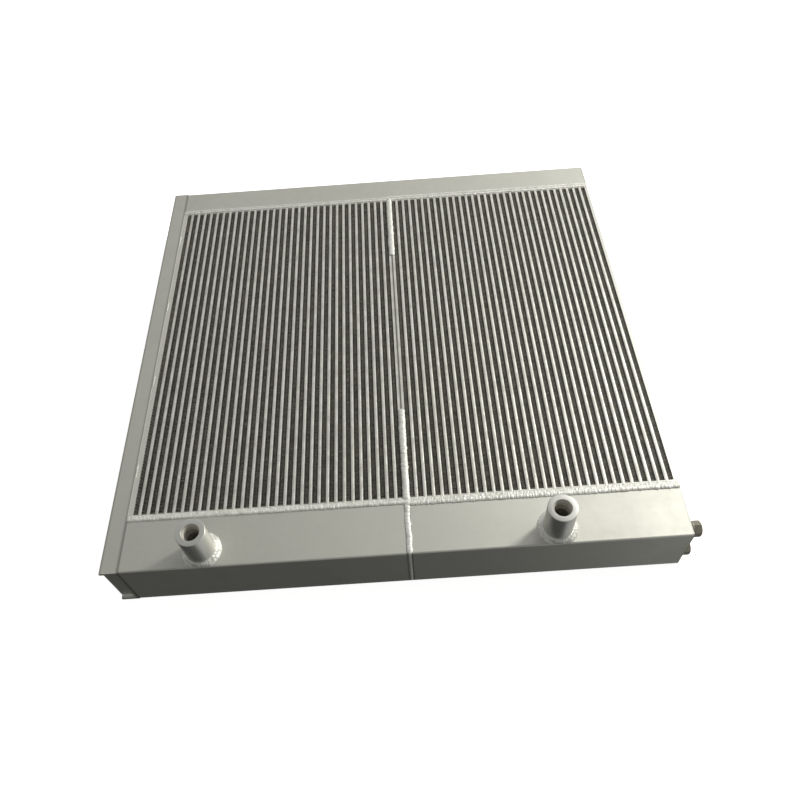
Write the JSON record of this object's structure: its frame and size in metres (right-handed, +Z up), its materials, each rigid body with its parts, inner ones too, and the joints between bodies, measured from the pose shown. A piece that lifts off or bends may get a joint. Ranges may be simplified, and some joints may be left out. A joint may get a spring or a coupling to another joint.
{
  "type": "hydraulic oil cooler",
  "caption": "Flat bar-and-plate aluminium oil cooler with box tanks, welded port bosses, side channel and screw plugs.",
  "frame": {"origin": "bottom centre of the outer box, on the plane the tanks rest on", "axes": "+X to the right along the row stack, +Y from the front port tank to the return tank, +Z up through the core, along the port bosses"},
  "size_m": [0.917, 0.8874, 0.169],
  "materials": {
    "satin_sheet": "satin silver, fine rolled grain",
    "core_bar": "brazed bar stock, satin",
    "air_fin": "thin folded fin sheet, dull",
    "inner_sheet": "brazing sheet, matt",
    "machined_boss": "turned, fine tool marks",
    "weld_bead": "rippled weld metal, bright",
    "plug_steel": "zinc plated, satin",
    "seal_ring": "matt black"
  },
  "bodies": {
    "cooler_body": {"centre_seam_welds": "weld_bead", "channel_end_welds": "weld_bead", "channel_far_end_plate": "satin_sheet", "channel_near_end_plate": "satin_sheet", "channel_tack_welds": "weld_bead", "divider_seam_weld": "weld_bead", "left_core_air_fins": "air_fin", "left_core_header_bars": "core_bar", "left_core_inner_side_plate": "core_bar", "left_core_oil_bars": "core_bar", "left_core_oil_turbulators": "inner_sheet", "left_core_outer_side_plate": "core_bar", "left_core_parting_sheets": "inner_sheet", "left_port_boss": "machined_boss", "left_port_boss_weld": "weld_bead", "left_port_tank_shell": "satin_sheet", "left_side_channel": "satin_sheet", "lower_plug_bung": "machined_boss", "plug_bung_welds": "weld_bead", "port_tank_core_welds": "weld_bead", "port_tank_divider": "satin_sheet", "port_tank_left_end": "satin_sheet", "port_tank_right_end": "satin_sheet", "return_tank_core_welds": "weld_bead", "return_tank_left_end": "satin_sheet", "return_tank_right_end": "satin_sheet", "return_tank_shell": "satin_sheet", "right_core_air_fins": "air_fin", "right_core_header_bars": "core_bar", "right_core_inner_side_plate": "core_bar", "right_core_oil_bars": "core_bar", "right_core_oil_turbulators": "inner_sheet", "right_core_outer_side_plate": "core_bar", "right_core_parting_sheets": "inner_sheet", "right_port_boss": "machined_boss", "right_port_boss_weld": "weld_bead", "right_port_tank_shell": "satin_sheet", "upper_plug_bung": "machined_boss"},
    "upper_plug_carrier": {"upper_plug_seal": "seal_ring"},
    "upper_plug_screw": {"upper_plug": "plug_steel"},
    "lower_plug_carrier": {"lower_plug_seal": "seal_ring"},
    "lower_plug_screw": {"lower_plug": "plug_steel"}
  },
  "joints": [
    {"name": "upper_plug_travel", "type": "slide", "parent": "cooler_body", "child": "upper_plug_carrier", "axis": [1, 0, 0], "range_m": [0, 0.0121]},
    {"name": "upper_plug_turn", "type": "hinge", "parent": "upper_plug_carrier", "child": "upper_plug_screw", "pos_m": [0.44448, -0.4228, 0.085], "axis": [1, 0, 0], "range_deg": [0, 3240]},
    {"name": "lower_plug_travel", "type": "slide", "parent": "cooler_body", "child": "lower_plug_carrier", "axis": [1, 0, 0], "range_m": [0, 0.0121]},
    {"name": "lower_plug_turn", "type": "hinge", "parent": "lower_plug_carrier", "child": "lower_plug_screw", "pos_m": [0.44448, -0.4228, 0.019], "axis": [1, 0, 0], "range_deg": [0, 3240]}
  ],
  "couplings": [
    {"joint": "upper_plug_travel", "follows": "upper_plug_turn", "m_per_rad": 0.00021276},
    {"joint": "lower_plug_travel", "follows": "lower_plug_turn", "m_per_rad": 0.00021276}
  ]
}
